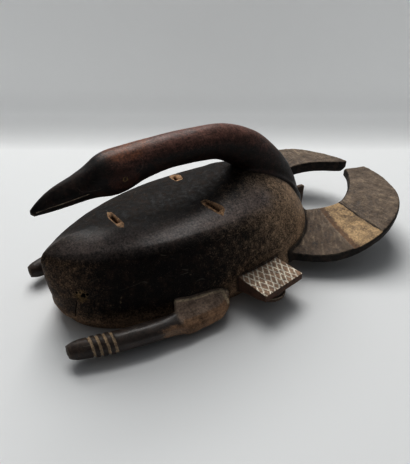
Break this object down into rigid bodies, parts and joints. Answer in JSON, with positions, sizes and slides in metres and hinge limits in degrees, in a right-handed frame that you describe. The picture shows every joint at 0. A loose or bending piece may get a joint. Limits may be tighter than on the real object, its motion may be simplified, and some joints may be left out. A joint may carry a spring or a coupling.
{
  "type": "senufo kpelie mask",
  "caption": "Carved wooden face mask lying face up: hollow shell with slit eyes and mouth, a long-beaked bird arching over it, curved flat horns, ringed legs and hatched temple blocks.",
  "frame": {"origin": "middle of the bounding box in plan, at the plane of the back rim that the mask lies on", "axes": "+Z out of the face, +Y from the chin towards the horns, +X to the wearer's left"},
  "size_m": [0.204, 0.3816, 0.1405],
  "materials": {
    "carved_wood": "dark handled patina, satin on the face, reddish on the neck, dusty brown on the horns and head end"
  },
  "bodies": {
    "root": {"kpelie_mask": "carved_wood"}
  },
  "joints": []
}
